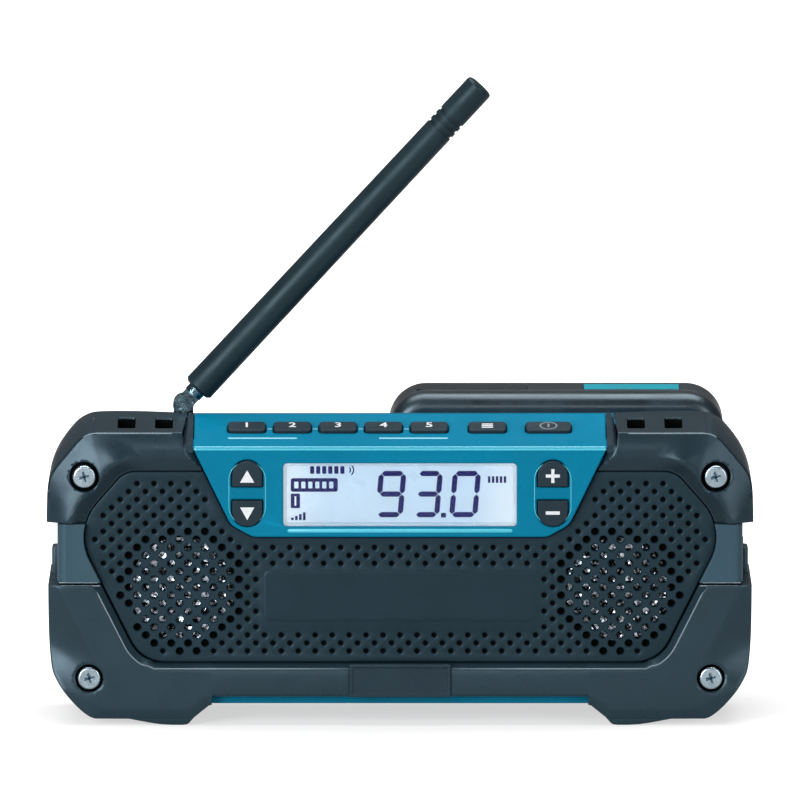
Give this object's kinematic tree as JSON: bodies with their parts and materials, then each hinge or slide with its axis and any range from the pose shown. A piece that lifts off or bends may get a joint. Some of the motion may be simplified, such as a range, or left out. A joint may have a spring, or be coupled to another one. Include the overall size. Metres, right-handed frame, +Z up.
{
  "type": "jobsite radio",
  "caption": "Low wide jobsite radio with corner bumpers, punched grille over two speakers, lit display, keys, folding antenna and slide-on battery.",
  "frame": {"origin": "on the ground, in the middle of the box around the whole radio", "axes": "+X to the radio's right-hand side as seen from the front, +Y from front to back, +Z up"},
  "size_m": [0.223, 0.0768, 0.2023],
  "materials": {
    "teal": "satin",
    "charcoal": "satin",
    "grille_black": "satin",
    "side_grey": "satin",
    "plate_dark": "satin",
    "key_dark": "matte",
    "foot_rubber": "matte",
    "seal_rubber": "matte",
    "zinc_steel": "satin",
    "chrome_joint": "polished",
    "antenna_rubber": "matte",
    "window_clear": "gloss",
    "lcd_blue": "gloss",
    "guide_clear": "gloss",
    "board_green": "satin",
    "component_black": "matte",
    "switch_grey": "matte",
    "basket_metal": "satin",
    "cone_silver": "gloss",
    "magnet_iron": "matte",
    "contact_brass": "satin",
    "terminal_plastic": "matte",
    "pack_black": "satin",
    "pack_plate_teal": "gloss",
    "pack_grip": "matte",
    "cell_sleeve": "satin",
    "latch_plastic": "satin",
    "cover_rubber": "matte",
    "jack_plastic": "matte"
  },
  "bodies": {
    "radio": {"front_housing": "teal", "rear_housing": "teal", "housing_seal": "seal_rubber", "speaker_grille": "grille_black", "upper_left_bumper": "charcoal", "upper_right_bumper": "charcoal", "lower_bumper": "charcoal", "left_side_panel": "side_grey", "right_side_panel": "side_grey", "name_plate": "plate_dark", "centre_badge": "plate_dark", "feet": "foot_rubber", "lcd_window": "window_clear", "lcd_panel": "lcd_blue", "lcd_light_guide": "guide_clear", "main_board": "board_green", "key_board": "board_green", "board_components": "component_black", "key_switches": "switch_grey", "rocker_switches": "switch_grey", "board_screws": "zinc_steel", "front_screws": "zinc_steel", "rear_screws": "zinc_steel", "speaker_screws": "zinc_steel", "left_speaker_frame": "basket_metal", "right_speaker_frame": "basket_metal", "left_speaker_cone": "cone_silver", "right_speaker_cone": "cone_silver", "speaker_magnets": "magnet_iron", "speaker_gaskets": "seal_rubber", "battery_terminal_block": "terminal_plastic", "terminal_blades": "contact_brass", "antenna_bushing": "chrome_joint", "aux_jack": "jack_plastic"},
    "antenna_swivel": {"antenna_fork": "chrome_joint", "antenna_pin": "chrome_joint"},
    "antenna_rod": {"antenna_knuckle": "chrome_joint", "antenna_sleeve": "antenna_rubber", "antenna_tip": "antenna_rubber", "antenna_core": "zinc_steel"},
    "battery": {"battery_case_head": "pack_black", "battery_case_base": "pack_black", "battery_cells": "cell_sleeve", "battery_screws": "zinc_steel", "battery_label": "pack_plate_teal", "battery_grip": "pack_grip", "battery_contacts": "contact_brass"},
    "battery_latch_body": {"battery_latch": "latch_plastic"},
    "jack_cover_body": {"jack_cover": "cover_rubber"},
    "preset_1_button_body": {"preset_1_button": "key_dark"},
    "preset_2_button_body": {"preset_2_button": "key_dark"},
    "preset_3_button_body": {"preset_3_button": "key_dark"},
    "preset_4_button_body": {"preset_4_button": "key_dark"},
    "preset_5_button_body": {"preset_5_button": "key_dark"},
    "band_button_body": {"band_button": "key_dark"},
    "power_button_body": {"power_button": "key_dark"},
    "tune_up_button_body": {"tune_up_button": "key_dark"},
    "tune_down_button_body": {"tune_down_button": "key_dark"},
    "volume_up_button_body": {"volume_up_button": "key_dark"},
    "volume_down_button_body": {"volume_down_button": "key_dark"}
  },
  "joints": [
    {"name": "antenna_swivel", "type": "hinge", "parent": "radio", "child": "antenna_swivel", "pos_m": [-0.0686, -0.00435, 0.098], "axis": [0, 0, 1], "range_deg": [0, 180]},
    {"name": "antenna_tilt", "type": "hinge", "parent": "antenna_swivel", "child": "antenna_rod", "pos_m": [-0.0686, -0.00435, 0.098], "axis": [0, -1, 0], "range_deg": [-47.2, 42.8]},
    {"name": "preset_1_press", "type": "slide", "parent": "radio", "child": "preset_1_button_body", "axis": [0, 0.2698, -0.9629], "range_m": [0, 0.0006], "stiffness_N_per_m": 1500},
    {"name": "preset_2_press", "type": "slide", "parent": "radio", "child": "preset_2_button_body", "axis": [0, 0.2698, -0.9629], "range_m": [0, 0.0006], "stiffness_N_per_m": 1500},
    {"name": "preset_3_press", "type": "slide", "parent": "radio", "child": "preset_3_button_body", "axis": [0, 0.2698, -0.9629], "range_m": [0, 0.0006], "stiffness_N_per_m": 1500},
    {"name": "preset_4_press", "type": "slide", "parent": "radio", "child": "preset_4_button_body", "axis": [0, 0.2698, -0.9629], "range_m": [0, 0.0006], "stiffness_N_per_m": 1500},
    {"name": "preset_5_press", "type": "slide", "parent": "radio", "child": "preset_5_button_body", "axis": [0, 0.2698, -0.9629], "range_m": [0, 0.0006], "stiffness_N_per_m": 1500},
    {"name": "band_press", "type": "slide", "parent": "radio", "child": "band_button_body", "axis": [0, 0.2698, -0.9629], "range_m": [0, 0.0006], "stiffness_N_per_m": 1500},
    {"name": "power_press", "type": "slide", "parent": "radio", "child": "power_button_body", "axis": [0, 0.2698, -0.9629], "range_m": [0, 0.0006], "stiffness_N_per_m": 1500},
    {"name": "tune_up_press", "type": "slide", "parent": "radio", "child": "tune_up_button_body", "axis": [0, 1, 0], "range_m": [0, 0.0006], "stiffness_N_per_m": 1500},
    {"name": "tune_down_press", "type": "slide", "parent": "radio", "child": "tune_down_button_body", "axis": [0, 1, 0], "range_m": [0, 0.0006], "stiffness_N_per_m": 1500},
    {"name": "volume_up_press", "type": "slide", "parent": "radio", "child": "volume_up_button_body", "axis": [0, 1, 0], "range_m": [0, 0.0006], "stiffness_N_per_m": 1500},
    {"name": "volume_down_press", "type": "slide", "parent": "radio", "child": "volume_down_button_body", "axis": [0, 1, 0], "range_m": [0, 0.0006], "stiffness_N_per_m": 1500},
    {"name": "battery_slide", "type": "slide", "parent": "radio", "child": "battery", "axis": [1, 0, 0], "range_m": [0, 0.12]},
    {"name": "battery_latch_slide", "type": "slide", "parent": "battery", "child": "battery_latch_body", "axis": [0, 1, 0], "range_m": [-0.002, 0]},
    {"name": "jack_cover_hinge", "type": "hinge", "parent": "radio", "child": "jack_cover_body", "pos_m": [0.1081, -0.02985, 0.0547], "axis": [0, 0, -1], "range_deg": [0, 110]}
  ]
}
